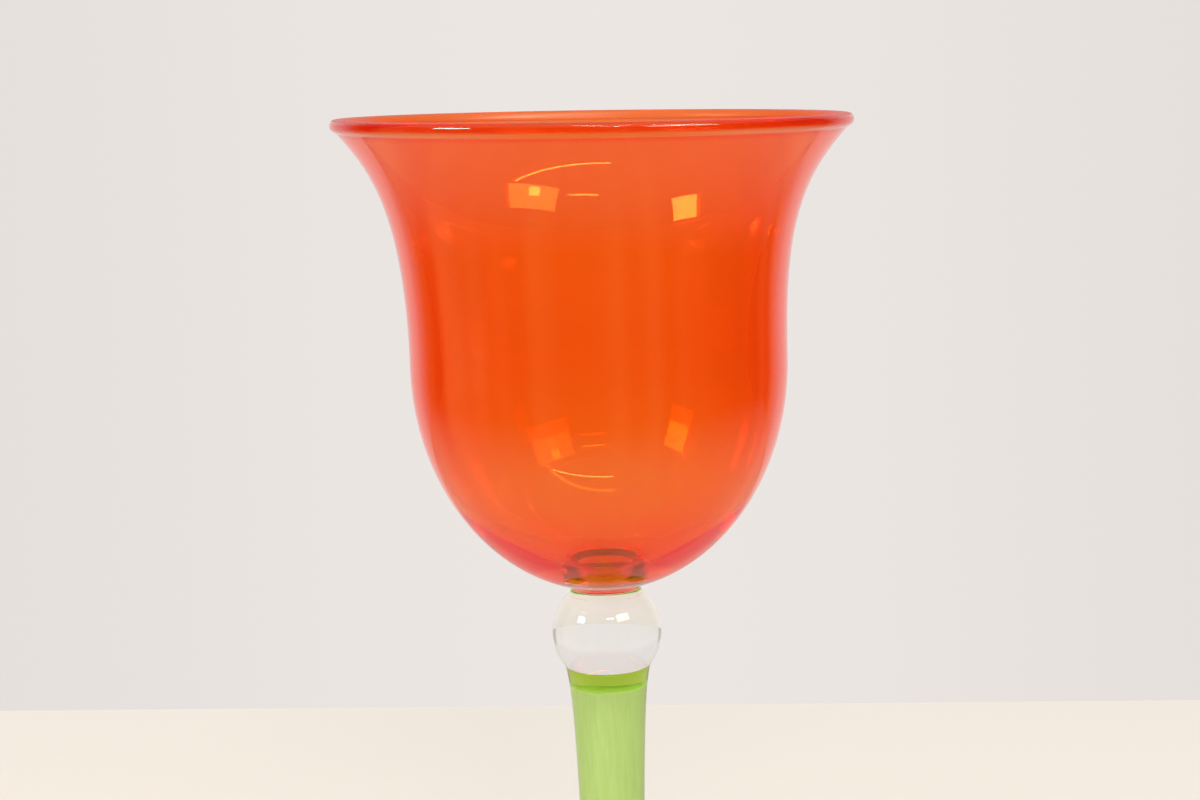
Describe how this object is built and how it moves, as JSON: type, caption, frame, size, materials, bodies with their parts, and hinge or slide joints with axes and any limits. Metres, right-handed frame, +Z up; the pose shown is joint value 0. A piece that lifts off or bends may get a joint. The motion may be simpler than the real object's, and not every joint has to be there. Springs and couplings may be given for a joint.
{
  "type": "stemmed glass",
  "caption": "Stemmed drinking glass with a flared bell-shaped orange bowl, clear ball knop, green cased stem and round foot.",
  "frame": {"origin": "centre of the foot's resting plane, on the axis of the stem", "axes": "+Z up along the stem towards the rim; X and Y are free, because the glass is round"},
  "size_m": [0.0908, 0.0908, 0.2095],
  "materials": {
    "orange_glass": "clear gloss, transparent orange",
    "clear_glass": "clear gloss, colourless",
    "green_glass": "clear gloss, transparent yellow green",
    "opal_green": "opal pale green with fine drawn streaks"
  },
  "bodies": {
    "root": {"foot": "clear_glass", "stem_casing": "green_glass", "stem_core": "opal_green", "knop": "clear_glass", "bowl_merese": "clear_glass", "bowl": "orange_glass"}
  },
  "joints": []
}
